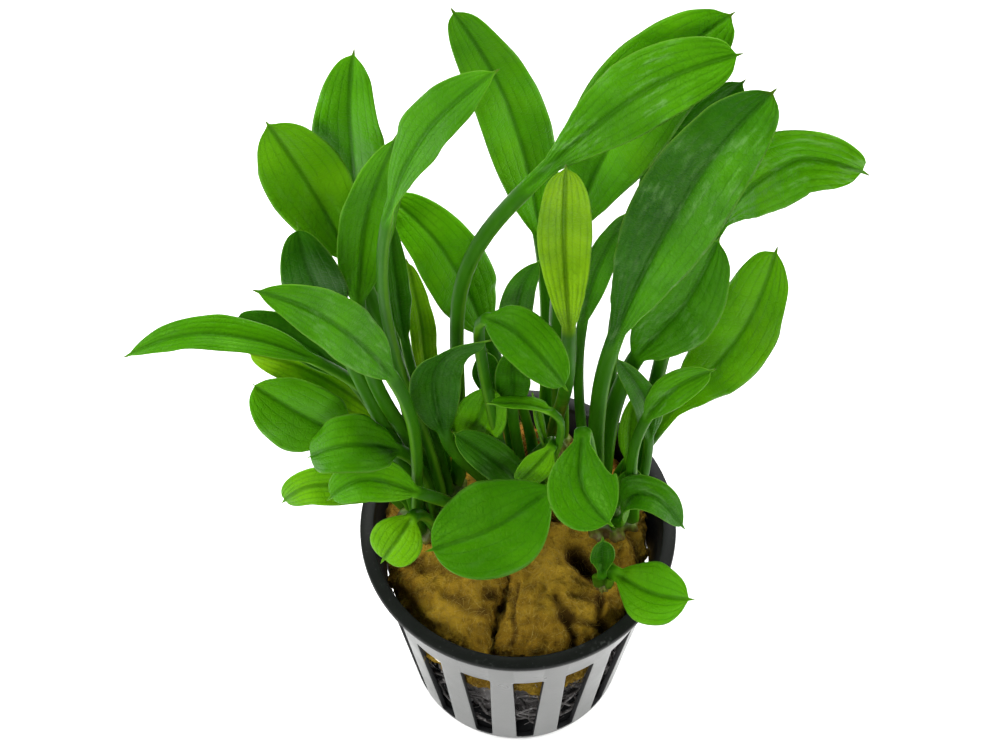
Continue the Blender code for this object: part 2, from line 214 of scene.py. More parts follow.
# Net pot, in millimetres and degrees.
potShape = {
    "rimRadius": 25.0,
    "rimWidth": 2.2,
    "rimFoot": 42.4,
    "height": 43.5,
    "topRadius": 23.5,         # outside of the wall under the rim
    "baseRadius": 17.3,
    "wall": 0.9,
    "floor": 1.1,
    "slots": 16,
    "slotTurn": -85.0,
    "slotTop": 31.6,
    "slotFoot": 1.3,
    "slotHalfTop": 6.5,
    "slotHalfFoot": 4.55,
    "drainInner": 9.5,
    "drainOuter": 14.0,
    "drainHalf": 6.0,
    "columns": 12,             # faces from one slot to the next, half of them in the slot
    "wallRows": 10,
    "bandRows": (39.0, 41.0),  # extra rows between the slots and the rim
    "cornerRound": 0.55,
    "edgeRound": 0.13,
    "cornerTurn": 50.0,        # a slot's corners are sharper than this
    "edgeTurn": 55.0,          # so are the edges round its opening
    "smoothTurn": 40.0,
}
potLooks = {
    "potCharcoal": {"colour": (0.0042, 0.0050, 0.0042), "pale": (0.06, 0.066, 0.06), "rough": 0.44,
                    "paleShare": 0.40, "specular": 0.10},
    # the outer wall is the same black plastic as the rim; its pale grey colour is a painted reflection of the
    # bright room round it
    "potWallPaintedReflection": {"colour": (0.080, 0.082, 0.079), "pale": (0.20, 0.205, 0.20), "rough": 0.32,
                    "paleShare": 0.40, "specular": 0.26},
    "potInside": {"colour": (0.006, 0.0065, 0.007), "pale": (0.03, 0.03, 0.03), "rough": 0.60,
                  "paleShare": 0.30, "specular": 0.20},
}


def plasticWear():
    # one effect for all three finishes: pale scuffs and specks, and a fine moulded grain
    group = bpy.data.node_groups.new("plasticWear", "ShaderNodeTree")
    group.interface.new_socket("Vector", in_out="INPUT", socket_type="NodeSocketVector")
    for name in ("Scuffs", "Cloud", "Height"):
        group.interface.new_socket(name, in_out="OUTPUT", socket_type="NodeSocketFloat")
    start = group.nodes.new("NodeGroupInput").outputs["Vector"]
    end = group.nodes.new("NodeGroupOutput")
    patches = grain(group, start, 190.0, 4.0, 0.62)
    specks = grain(group, start, 1500.0, 2.0, 0.5)
    scuffs = times(group, spread(group, patches, 0.53, 0.68), spread(group, specks, 0.50, 0.66))
    long = addNode(group, "ShaderNodeMapping", {"Vector": start, "Scale": (1.0, 1.0, 0.12)}).outputs[0]
    scratches = spread(group, grain(group, long, 1900.0, 2.0, 0.5, warp=0.4), 0.66, 0.74)
    putIn(group, end.inputs["Scuffs"], sums(group, "MAXIMUM", scuffs, times(group, scratches, 0.5)))
    putIn(group, end.inputs["Cloud"], grain(group, start, 85.0, 3.0))
    putIn(group, end.inputs["Height"], sums(group, "ADD", grain(group, start, 2600.0, 3.0),
                                            times(group, patches, 0.6)))
    return group


wearGroup = plasticWear()


def makePlastic(name, colour, pale, rough, paleShare, specular):
    finish, tree, shader = newMaterial(name, Specular_IOR_Level=specular)
    wear = addNode(tree, "ShaderNodeGroup", node_tree=wearGroup)
    putIn(tree, wear.inputs["Vector"], objectPlace(tree))
    cloud = wear.outputs["Cloud"]
    shown = blendColour(tree, spread(tree, cloud, 0.35, 0.65), (*colour, 1.0),
                        (*(value * 1.35 for value in colour), 1.0))
    worn = times(tree, wear.outputs["Scuffs"], paleShare)
    putIn(tree, shader.inputs["Base Color"], blendColour(tree, worn, shown, (*pale, 1.0)))
    uneven = spread(tree, cloud, 0.3, 0.7, rough - 0.05, rough + 0.08)
    putIn(tree, shader.inputs["Roughness"], sums(tree, "MULTIPLY_ADD", worn, 0.3, uneven))
    putIn(tree, shader.inputs["Normal"], bumpFrom(tree, wear.outputs["Height"], 0.00005, 0.35))
    return finish


potFinishes = [makePlastic(name, **look) for name, look in potLooks.items()]


def wallRadius(height):
    share = height / potShape["rimFoot"]
    return potShape["baseRadius"] + (potShape["topRadius"] - potShape["baseRadius"]) * share


def slotHalf(radius, height):
    # half the angle a slot or drain spans at this place
    if radius < potShape["drainOuter"] + 0.5:
        return potShape["drainHalf"]
    share = (height - potShape["slotFoot"]) / (potShape["slotTop"] - potShape["slotFoot"])
    share = min(1.0, max(0.0, share))
    return potShape["slotHalfFoot"] + (potShape["slotHalfTop"] - potShape["slotHalfFoot"]) * share


def potProfile():
    # from the middle of the underside out, up, over the rim and down the inside, with every edge eased
    foot, top, rows = potShape["slotFoot"], potShape["slotTop"], potShape["wallRows"]
    heights = [foot + (top - foot) * row / rows for row in range(rows + 1)]
    base, rim, tall, rimFoot = (potShape[key] for key in ("baseRadius", "rimRadius", "height", "rimFoot"))
    lip, wall, floor = rim - potShape["rimWidth"], potShape["wall"], potShape["floor"]
    outside = [(0.0, 0.0), (potShape["drainInner"], 0.0), (potShape["drainOuter"], 0.0), (base - 0.5, 0.0),
               (base - 0.15, 0.12), (base + 0.03, 0.5)]
    outside += [(wallRadius(height), height) for height in heights]
    outside += [(wallRadius(height), height) for height in potShape["bandRows"]]
    outside += [(wallRadius(rimFoot) - 0.05, rimFoot), (rim - 0.12, rimFoot + 0.04), (rim, rimFoot + 0.2),
                (rim, tall - 0.28), (rim - 0.1, tall - 0.08), (rim - 0.32, tall),
                (rim - potShape["rimWidth"] / 2, tall), (lip + 0.3, tall), (lip + 0.08, tall - 0.1),
                (lip, tall - 0.3), (lip + 0.05, rimFoot)]
    inside = [(wallRadius(rimFoot) - wall, rimFoot - 0.35)]
    inside += [(wallRadius(height) - wall, height) for height in reversed(heights)]
    inside += [(radius, floor)
               for radius in (base - wall, potShape["drainOuter"], potShape["drainInner"], 0.0)]
    return outside + inside


def slotPlace(point):
    # which slot a place is nearest, and how many degrees it lies from that slot's middle
    step = 360.0 / potShape["slots"]
    turn = math.degrees(math.atan2(point.y, point.x)) - potShape["slotTurn"]
    slot = round(turn / step)
    return slot % potShape["slots"], turn - slot * step


def makePot():
    bm = bmesh.new()
    verts = [bm.verts.new(mm(radius, 0.0, height)) for radius, height in potProfile()]
    edges = [bm.edges.new(pair) for pair in zip(verts, verts[1:])]
    steps = potShape["slots"] * potShape["columns"]
    bmesh.ops.rotate(bm, verts=verts, cent=(0, 0, 0),
                     matrix=Quaternion((0, 0, 1), math.radians(potShape["slotTurn"])).to_matrix())
    bmesh.ops.spin(bm, geom=verts + edges, axis=(0, 0, 1), cent=(0, 0, 0), steps=steps, angle=math.tau,
                   use_merge=True)
    bmesh.ops.remove_doubles(bm, verts=bm.verts, dist=0.00001)
    step = 360.0 / potShape["slots"]
    evenHalf = step / 4
    for vert in bm.verts:
        radius = vert.co.xy.length * 1000
        if radius < 1.0:
            continue
        slot, away = slotPlace(vert.co)
        half = slotHalf(radius, vert.co.z * 1000)
        if abs(away) <= evenHalf:
            moved = away / evenHalf * half
        else:
            moved = half + (abs(away) - evenHalf) / (step / 2 - evenHalf) * (step / 2 - half)
            moved = math.copysign(moved, away)
        turn = math.radians(potShape["slotTurn"] + slot * step + moved)
        vert.co.x, vert.co.y = radius * 0.001 * math.cos(turn), radius * 0.001 * math.sin(turn)

    cut = []
    for face in bm.faces:
        middle = face.calc_center_median()
        slot, away = slotPlace(middle)
        radius, height = middle.xy.length * 1000, middle.z * 1000
        if abs(away) > slotHalf(radius, height):
            continue
        inSlot = potShape["slotFoot"] < height < potShape["slotTop"] and radius > potShape["baseRadius"] - 1.0
        inDrain = (height < potShape["floor"] + 0.1 and slot % 2 == 0
                   and potShape["drainInner"] < radius < potShape["drainOuter"])
        if inSlot or inDrain:
            cut.append(face)
    bmesh.ops.delete(bm, geom=cut, context="FACES")
    loops = {}
    for edge in bm.edges:
        if edge.is_boundary:
            middle = (edge.verts[0].co + edge.verts[1].co) / 2
            low = middle.z * 1000 < potShape["floor"] + 0.1
            loops.setdefault((slotPlace(middle)[0], low), []).append(edge)
    openings = []
    for ring in loops.values():
        openings += bmesh.ops.bridge_loops(bm, edges=ring)["faces"]
    bmesh.ops.recalc_face_normals(bm, faces=bm.faces)
    walls = set(openings)
    corners = []
    for face in openings:
        for edge in face.edges:
            others = [near for near in edge.link_faces if near is not face]
            if (others and others[0] in walls
                    and face.normal.angle(others[0].normal) > math.radians(potShape["cornerTurn"])):
                corners.append(edge)
    bmesh.ops.bevel(bm, geom=list(dict.fromkeys(corners)), offset=potShape["cornerRound"] * 0.001,
                    offset_type="OFFSET", affect="EDGES", segments=3, profile=0.5, material=-1)
    bm.normal_update()
    brims = [edge for edge in bm.edges
             if len(edge.link_faces) == 2 and edge.calc_face_angle(0.0) > math.radians(potShape["edgeTurn"])
             and min(vert.co.z for vert in edge.verts) * 1000 > potShape["slotFoot"] - 0.5
             and max(vert.co.z for vert in edge.verts) * 1000 < potShape["slotTop"] + 0.5]
    bmesh.ops.bevel(bm, geom=brims, offset=potShape["edgeRound"] * 0.001, offset_type="OFFSET",
                    affect="EDGES", segments=2, profile=0.5, material=-1)
    bmesh.ops.recalc_face_normals(bm, faces=bm.faces)
    # outer wall faces get the pale grey painted reflection, the rim and the inside stay charcoal
    for face in bm.faces:
        middle = face.calc_center_median()
        radius, height = middle.xy.length * 1000, middle.z * 1000
        outward = face.normal.xy.dot(middle.xy.normalized()) if radius > 1.0 else 0.0
        if height > potShape["rimFoot"] - 0.1:
            face.material_index = 0
        elif outward > 0.6 and radius > wallRadius(height) - 0.3:
            face.material_index = 1
        else:
            face.material_index = 2
    mesh = meshOf(bm, "netPot")
    addPiece("netPot", mesh, potFinishes, ["net_pot"])
    mesh.set_sharp_from_angle(angle=math.radians(potShape["smoothTurn"]))


makePot()
print("net pot made")

# Rockwool, in millimetres.  A crease is a groove that runs between two points seen from above; a hollow is
# pushed in and a lump pulled out round a point.
woolShape = {
    "voxel": 0.42,
    "rounding": 18,
    "top": 42.8,
    "lumps": ((9.0, 0.8), (4.2, 0.75), (2.0, 0.75), (0.95, 0.48), (0.55, 0.30)),     # size and height
    "ridge": (2.6, 0.55),      # size and height
    "creaseWander": 0.9,
    "slumpStart": 12.0,
    "slump": 3.2,
    # from, to, depth and width
    "creases": (((-0.5, -10.0), (-0.9, -19.5), 0.7, 0.7), ((6.0, -11.5), (9.6, -19.5), 1.5, 0.9),
                ((8.6, -11.0), (13.0, -11.5), 1.3, 0.8), ((12.9, -10.5), (14.4, -17.5), 1.7, 0.9),
                ((7.5, -14.2), (13.0, -15.8), 0.9, 0.7), ((-11.0, -12.0), (-5.0, -14.5), 0.5, 1.3),
                ((-17.0, -5.0), (-9.0, -8.0), 0.6, 1.2), ((4.0, 12.0), (-3.0, 14.0), 1.2, 1.2),
                ((9.0, 12.0), (12.0, 20.0), 1.6, 1.2), ((-12.0, 12.0), (-6.0, 17.0), 1.4, 1.4),
                ((15.0, 4.0), (20.0, -4.0), 1.0, 1.0)),
    # x, y, size and depth or height
    "hollows": ((10.2, -4.6, 2.3, 5.5), (8.6, -3.6, 1.6, 3.0), (12.0, -7.0, 2.0, 3.0),
                (-4.2, -11.0, 1.6, 1.8)),
    "lumpsUp": ((0.5, 16.0, 3.4, 4.2), (14.0, 14.5, 2.6, 2.6), (-14.0, 12.0, 3.0, 1.6),
                (17.6, -3.0, 2.2, 1.4), (-12.5, -13.5, 4.5, 0.8), (2.5, -14.0, 3.5, 0.8)),
    "fibres": 5200,
    "fibreLength": (0.8, 2.6),
    "fibreRadius": 0.022,
}
woolColours = {
    "ochre": (0.215, 0.122, 0.009, 1.0),
    "light": (0.305, 0.190, 0.015, 1.0),
    "orange": (0.36, 0.140, 0.022, 1.0),
    "blotch": (0.070, 0.040, 0.005, 1.0),
    "hair": (0.36, 0.27, 0.050, 1.0),
    # painted shade: the dark laid into the creases, the hollows and the sides lower down in the pot
    "paintedCreaseShade": (0.030, 0.014, 0.004, 1.0),
}
threadLooks = {
    # name: three colours, the last one for the tips, and the roughness
    "rockwoolFibre": ((0.21, 0.135, 0.018), (0.30, 0.21, 0.035), (0.42, 0.32, 0.085), 0.8),
    "rootGrey": ((0.030, 0.027, 0.025), (0.085, 0.080, 0.078), (0.22, 0.21, 0.21), 0.6),
    "rootPale": ((0.55, 0.48, 0.30), (0.72, 0.66, 0.46), (0.80, 0.76, 0.60), 0.45),
}


def makeWoolFinish():
    finish, tree, shader = newMaterial("rockwoolOchre", Specular_IOR_Level=0.04, Roughness=0.95)
    place = objectPlace(tree)
    paintedShade = readValue(tree, "paintedShade")
    warm = readValue(tree, "warm")
    broad = grain(tree, place, 130.0, 3.0)
    mid = grain(tree, place, 520.0, 4.0, 0.65)
    threads = grain(tree, objectPlace(tree, (900.0, 2600.0, 900.0)), 1.0, 3.0, 0.6, warp=1.8)
    crossing = grain(tree, objectPlace(tree, (2600.0, 800.0, 1100.0)), 1.0, 3.0, 0.6, warp=1.8)
    hair = sums(tree, "MAXIMUM", threads, crossing)
    colour = blendColour(tree, spread(tree, broad, 0.38, 0.62), woolColours["ochre"], woolColours["light"])
    # the last colour laid on is painted shade, darkest in the creases and hollows and lower down in the pot
    for share, key in ((times(tree, warm, 0.85), "orange"),
                       (spread(tree, mid, 0.30, 0.58, 0.62, 0.0), "blotch"),
                       (spread(tree, hair, 0.56, 0.74, 0.0, 0.55), "hair"),
                       (spread(tree, paintedShade, 0.15, 1.0, 0.0, 0.85), "paintedCreaseShade")):
        colour = blendColour(tree, share, colour, woolColours[key])
    putIn(tree, shader.inputs["Base Color"], colour)
    height = sums(tree, "ADD", hair, times(tree, mid, 1.4))
    putIn(tree, shader.inputs["Normal"], bumpFrom(tree, height, 0.00085, 1.0))
    return finish


woolFinish = makeWoolFinish()


def makeThreadFinish(name, first, second, tip, rough):
    # fine fibres and roots: colour changes along and between them
    finish, tree, shader = newMaterial(name, Specular_IOR_Level=0.2, Roughness=rough)
    place = objectPlace(tree)
    mixed = grain(tree, place, 300.0, 3.0)
    colour = blendColour(tree, spread(tree, mixed, 0.35, 0.65), (*first, 1.0), (*second, 1.0))
    tips = spread(tree, grain(tree, place, 1400.0, 2.0), 0.55, 0.70, 0.0, 0.7)
    putIn(tree, shader.inputs["Base Color"], blendColour(tree, tips, colour, (*tip, 1.0)))
    putIn(tree, shader.inputs["Normal"], bumpFrom(tree, grain(tree, place, 5200.0, 2.0), 0.00003, 0.5))
    return finish


threadFinishes = {name: makeThreadFinish(name, *look) for name, look in threadLooks.items()}


def nearSegment(point, start, end):
    start, end = Vector(start), Vector(end)
    line = end - start
    share = min(1.0, max(0.0, (point - start).dot(line) / line.length_squared))
    return (point - start - line * share).length


def remeshed(node, voxel):
    # a closed, evenly meshed copy of one CAD solid
    bm = bmesh.new()
    bm.from_mesh(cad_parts[node].data)
    bmesh.ops.remove_doubles(bm, verts=bm.verts, dist=0.000001)
    mesh = meshOf(bm, "source")
    source = bpy.data.objects.new("source", mesh)
    bpy.context.scene.collection.objects.link(source)
    modifier = source.modifiers.new("even", "REMESH")
    modifier.mode = "VOXEL"
    modifier.voxel_size = voxel * 0.001
    even = bpy.data.meshes.new_from_object(source.evaluated_get(bpy.context.evaluated_depsgraph_get()))
    bpy.data.objects.remove(source, do_unlink=True)
    bpy.data.meshes.remove(mesh)
    made = bmesh.new()
    made.from_mesh(even)
    bpy.data.meshes.remove(even)
    return made


def makeWoolBlock(name, node, seed):
    bm = remeshed(node, woolShape["voxel"])
    roundedOff(bm, woolShape["rounding"])
    paintedShadeLayer = bm.verts.layers.float.new("paintedShade")
    warmLayer = bm.verts.layers.float.new("warm")
    ridgeSize, ridgeHeight = woolShape["ridge"]
    aside = Vector((7.0, 0.0, 0.0))
    moves = []
    for vert in bm.verts:
        place = vert.co * 1000
        flat = Vector((place.x, place.y))
        high = smoothStep(30.0, woolShape["top"], place.z)
        upper = smoothStep(20.0, 36.0, place.z)
        # painted shade gathered at each vertex: ridge valleys, creases, hollows and the sides lower down in
        # the pot
        push, paintedShade, drop = 0.0, 0.0, 0.0
        for size, height in woolShape["lumps"]:
            push += height * noise.noise(place / size + Vector((seed, 0.0, 0.0)))
        ridge = abs(noise.noise(place / ridgeSize + Vector((0.0, seed, 5.0))))
        push += ridgeHeight * ridge - 0.15
        paintedShade += 0.35 * smoothStep(0.14, 0.0, ridge) * smoothStep(0.1, -0.5, push)
        wander = Vector((noise.noise(place / 3.0), noise.noise(place / 3.0 + aside)))
        wander *= woolShape["creaseWander"]
        for start, end, depth, width in woolShape["creases"]:
            close = math.exp(-(nearSegment(flat + wander, start, end) / width) ** 2)
            push -= depth * close * upper
            paintedShade += 0.75 * close * upper
        for x, y, size, depth in woolShape["hollows"]:
            close = math.exp(-((flat - Vector((x, y))).length / size) ** 2)
            drop -= depth * close * high
            paintedShade += 0.9 * close * high
        for x, y, size, height in woolShape["lumpsUp"]:
            drop += height * math.exp(-((flat - Vector((x, y))).length / size) ** 2) * high
        drop -= woolShape["slump"] * smoothStep(woolShape["slumpStart"], 21.5, flat.length) * high
        moves.append(vert.normal * push + Vector((0.0, 0.0, drop)))
        vert[paintedShadeLayer] = min(1.0, paintedShade + 0.55 * smoothStep(36.0, 26.0, place.z))
        vert[warmLayer] = smoothStep(6.0, 15.0, place.y) + smoothStep(-14.0, -19.0, place.x) * 0.3
    for vert, move in zip(bm.verts, moves):
        vert.co += move * 0.001
    bm.normal_update()
    return bm


def surfaceSpots(bm, count, rng):
    # places spread evenly over the faces that look up or out
    faces = [face for face in bm.faces if face.calc_center_median().z > 0.018 and face.normal.z > -0.3]
    picked = rng.choices(faces, [face.calc_area() for face in faces], k=count)
    return [(face.calc_center_median(), face.normal.copy()) for face in picked]


def makeTubes(name, paths, radius, finish, sides=0):
    # one joined mesh of closed tubes; each path is a list of (point, share of the radius)
    curve = bpy.data.curves.new(name, "CURVE")
    curve.dimensions = "3D"
    curve.bevel_depth = radius * 0.001
    curve.bevel_resolution = sides
    curve.use_fill_caps = True
    for path in paths:
        spline = curve.splines.new("POLY")
        spline.points.add(len(path) - 1)
        for point, (place, thickness) in zip(spline.points, path):
            point.co = (*place, 1.0)
            point.radius = thickness
    holder = bpy.data.objects.new(name + "Curve", curve)
    bpy.context.scene.collection.objects.link(holder)
    mesh = bpy.data.meshes.new_from_object(holder.evaluated_get(bpy.context.evaluated_depsgraph_get()))
    bpy.data.objects.remove(holder, do_unlink=True)
    bpy.data.curves.remove(curve)
    mesh.name = name
    mesh.materials.clear()
    addPiece(name, mesh, [finish])


def fibrePath(spot, normal, rng):
    turn = Vector([rng.uniform(-1, 1) for _ in range(3)])
    way = turn.cross(normal).normalized()
    across = way.cross(normal)
    length = rng.uniform(*woolShape["fibreLength"])
    curl = rng.uniform(-0.5, 0.5)
    lift = rng.choice((0.03, 0.06, 0.10, 0.25))     # most lie flat, and one in four sticks out
    path = []
    for step in range(5):
        share = step / 4
        along = (share - 0.5) * length
        out = 0.10 + lift * length * (share if lift > 0.2 else math.sin(math.pi * share))
        aside = curl * length * (share - 0.5) ** 2 * 2
        point = spot + (way * along + across * aside + normal * out) * 0.001
        path.append((point, 1.0 - 0.6 * abs(share - 0.5) * 2))
    return path


def makeWool():
    rng = random.Random(41)
    fibres = []
    blocks = {"rockwoolRight": "rockwool_right", "rockwoolBack": "rockwool_back",
              "rockwoolLeft": "rockwool_left"}
    for seed, (name, node) in enumerate(blocks.items()):
        bm = makeWoolBlock(name, node, seed * 13.7)
        spots = surfaceSpots(bm, woolShape["fibres"] // len(blocks), rng)
        fibres += [fibrePath(*spot, rng) for spot in spots]
        addPiece(name, meshOf(bm, name), [woolFinish], [node])
    makeTubes("rockwoolFibres", fibres, woolShape["fibreRadius"], threadFinishes["rockwoolFibre"])


makeWool()
print("rockwool made")

# Roots, in millimetres.
rootShape = {
    "matVoxel": 0.7,
    "matRounding": 4,
    "matFoot": 1.4,
    "roots": 170,
    "rootRadius": 0.30,
    "hairs": 420,
    "hairRadius": 0.07,
    "paleRadius": 0.5,
    "ring": (11.0, 17.5),      # how far from the middle the roots start
    "clear": 0.45,             # to the pot's wall
    "lowest": 1.9,
    "highest": 20.0,
    "paleLoop": ((-14.2, -14.6, 33.0), (-15.0, -15.2, 30.0), (-14.6, -15.0, 27.0), (-12.6, -15.6, 26.0),
                 (-11.4, -16.6, 28.0), (-11.9, -16.8, 30.5), (-13.2, -15.9, 32.0)),
}


def insideWall(point, clear):
    # the point, kept clear of the pot's wall
    radius = math.hypot(point.x, point.y)
    most = wallRadius(point.z) - potShape["wall"] - clear
    if radius > most:
        point.x, point.y = point.x * most / radius, point.y * most / radius
    return point


def rootPath(rng, low, high, steps, stride):
    turn = rng.uniform(0, math.tau)
    radius = rng.uniform(*rootShape["ring"])
    point = Vector((radius * math.cos(turn), radius * math.sin(turn), rng.uniform(low, high)))
    way = Vector((-math.sin(turn), math.cos(turn), rng.uniform(-0.5, 0.5))) * rng.choice((-1, 1))
    path = []
    for step in range(steps):
        point = insideWall(point + way.normalized() * stride, rootShape["clear"])
        point.z = min(high, max(low, point.z))
        way = way.normalized() + Vector([rng.uniform(-0.55, 0.55) for _ in range(3)])
        way += Vector((point.x, point.y, 0.0)).normalized() * -0.12     # a little inward
        path.append((point * 0.001, 1.0 - 0.5 * step / steps))
    return path


def makeRoots():
    rng = random.Random(17)
    grey = threadFinishes["rootGrey"]
    bm = remeshed("root_mat", rootShape["matVoxel"])
    roundedOff(bm, rootShape["matRounding"])
    moves = []
    for vert in bm.verts:
        place = vert.co * 1000
        push = 1.1 * noise.noise(place / 3.2) + 0.7 * noise.noise(place / 1.3) - 0.9
        moves.append(vert.normal * push * 0.001)
    for vert, move in zip(bm.verts, moves):
        vert.co += move
        vert.co.z = max(vert.co.z, rootShape["matFoot"] * 0.001)
    addPiece("rootMat", meshOf(bm, "rootMat"), [grey], ["root_mat"])
    low, high = rootShape["lowest"], rootShape["highest"]
    paths = [rootPath(rng, low, high, 16, 1.5) for _ in range(rootShape["roots"])]
    makeTubes("thickRoots", paths, rootShape["rootRadius"], grey, 1)
    paths = [rootPath(rng, low, high + 5.0, 9, 0.9) for _ in range(rootShape["hairs"])]
    makeTubes("rootHairs", paths, rootShape["hairRadius"], grey)
    loop = [Vector(point) for point in rootShape["paleLoop"]]
    path = []
    for before, after in zip(loop, loop[1:]):
        for step in range(4):
            path.append((insideWall(before.lerp(after, step / 4), 0.7) * 0.001, 1.0))
    makeTubes("paleRoot", [path], rootShape["paleRadius"], threadFinishes["rootPale"], 2)


makeRoots()
print("roots made")

# Crowns, in millimetres.
crownShape = {
    # name: the CAD node, the middle (x, y), and the radius and height of the clasping stalk feet
    "crownLeft": ("crown_left", (-13.0, 3.0), 6.0, 4.6),
    "crownCentre": ("crown_centre", (0.5, 6.0), 4.8, 3.6),
    "crownBack": ("crown_back", (5.5, 15.5), 3.0, 3.4),
    "crownRight": ("crown_right", (14.0, 3.0), 5.2, 4.4),
    "crownPlantlet": ("crown_plantlet", (13.5, -10.0), 1.3, 1.6),
}
crownBuild = {
    "level": 42.9,             # height of a crown's widest place
    "above": 0.85,             # shares of the height above and below it
    "below": 0.5,
    "ribs": ((9, 3.0, 0.09), (17, 0.0, 0.05)),      # how many, how much they wind, and how deep
    "swell": 0.16,
}
crownColours = {
    "foot": (0.070, 0.042, 0.008, 1.0),
    "green": (0.035, 0.095, 0.004, 1.0),
    "rib": (0.120, 0.170, 0.020, 1.0),
    "spot": (0.045, 0.024, 0.006, 1.0),
}


def makeCrownFinish():
    finish, tree, shader = newMaterial("crownGreen", Specular_IOR_Level=0.3, Roughness=0.5)
    place = objectPlace(tree)
    ribs = grain(tree, objectPlace(tree, (1300.0, 1300.0, 160.0)), 1.0, 3.0)
    level = addNode(tree, "ShaderNodeSeparateXYZ", {0: place}).outputs["Z"]
    green = spread(tree, level, 0.0425, 0.0465)
    colour = blendColour(tree, green, crownColours["foot"], crownColours["green"])
    colour = blendColour(tree, spread(tree, ribs, 0.45, 0.70, 0.0, 0.55), colour, crownColours["rib"])
    spots = spread(tree, grain(tree, place, 420.0, 3.0), 0.55, 0.66, 0.0, 0.8)
    colour = blendColour(tree, spots, colour, crownColours["spot"])
    putIn(tree, shader.inputs["Base Color"], colour)
    putIn(tree, shader.inputs["Normal"], bumpFrom(tree, ribs, 0.0002, 0.8))
    return finish


crownFinish = makeCrownFinish()


def makeCrown(name, node, middle, radius, height):
    bm = bmesh.new()
    bmesh.ops.create_icosphere(bm, subdivisions=5, radius=1.0)
    for vert in bm.verts:
        way = vert.co.copy()
        turn = math.atan2(way.y, way.x)
        ribs = sum(deep * math.sin(count * turn + wind * way.z) for count, wind, deep in crownBuild["ribs"])
        uneven = crownBuild["swell"] * noise.noise(way * 2.2 + Vector(middle).to_3d())
        swell = 1.0 + ribs * (1.0 - way.z * way.z) + uneven
        rise = way.z * height * crownBuild["above" if way.z > 0 else "below"] * swell
        vert.co = mm(middle[0] + way.x * radius * swell, middle[1] + way.y * radius * swell,
                     crownBuild["level"] + rise)
    addPiece(name, meshOf(bm, name), [crownFinish], [node])


for name, (node, middle, radius, height) in crownShape.items():
    makeCrown(name, node, middle, radius, height)
print("crowns made")

# Leaf finish: colours, and how strongly each is laid over the blade.
leafFinish = {
    # tone 0 is the deepest green, 1 the brightest lime; a leaf that lies in the shade of others gets a low
    # tone as painted shade
    "tones": ((0.0, (0.006, 0.058, 0.0008)), (0.28, (0.030, 0.150, 0.0010)), (0.5, (0.068, 0.275, 0.0014)),
              (0.75, (0.135, 0.360, 0.0025)), (1.0, (0.250, 0.450, 0.0060))),
    "underside": (0.17, 0.36, 0.060, 1.0),
    "rim": (0.150, 0.340, 0.012, 1.0),
    "beak": (0.060, 0.075, 0.006, 1.0),
    "stalk": (0.032, 0.140, 0.0016, 1.0),
    "stalkFoot": (0.095, 0.170, 0.012, 1.0),
    "glow": (0.14, 0.42, 0.002, 1.0),
    "vein": (0.008, 0.050, 0.002, 1.0),
    "veinlet": (0.010, 0.070, 0.001, 1.0),
    "cloud": (0.020, 0.120, 0.001, 1.0),
    # painted highlight: pale streaks laid over the leaf colour where a softbox's sheen falls on the glossy
    # leaves
    "paintedGleam": (0.26, 0.46, 0.17, 1.0),
    "stalkStreak": (0.012, 0.075, 0.0010, 1.0),
    "sheenTint": (0.45, 1.0, 0.10, 1.0),
    "glowShare": 0.30,
    "veinShare": 0.26,
    "rungShare": 0.14,
    "midribShare": 0.50,
    "veinletShare": 0.07,
    "cloudShare": 0.34,
    "paintedGleamShare": 0.42,
    "rimShare": 0.45,
    "underShare": 0.55,
    "footShare": 0.8,
    "beakShare": 0.75,
    "veins": (0.30, 0.58, 0.82),    # where the long veins run, from the midrib 0 to the edge 1
    "rungs": 0.62,                  # cross veins to the millimetre
    "veinletScale": 1150.0,
    "rough": 0.34,
}


# what each vertex of a leaf carries: its place over the blade and on the leaf, and the leaf's own looks
leafValues = ("across", "along", "halfWidth", "under", "tone", "share", "paintedSheen")


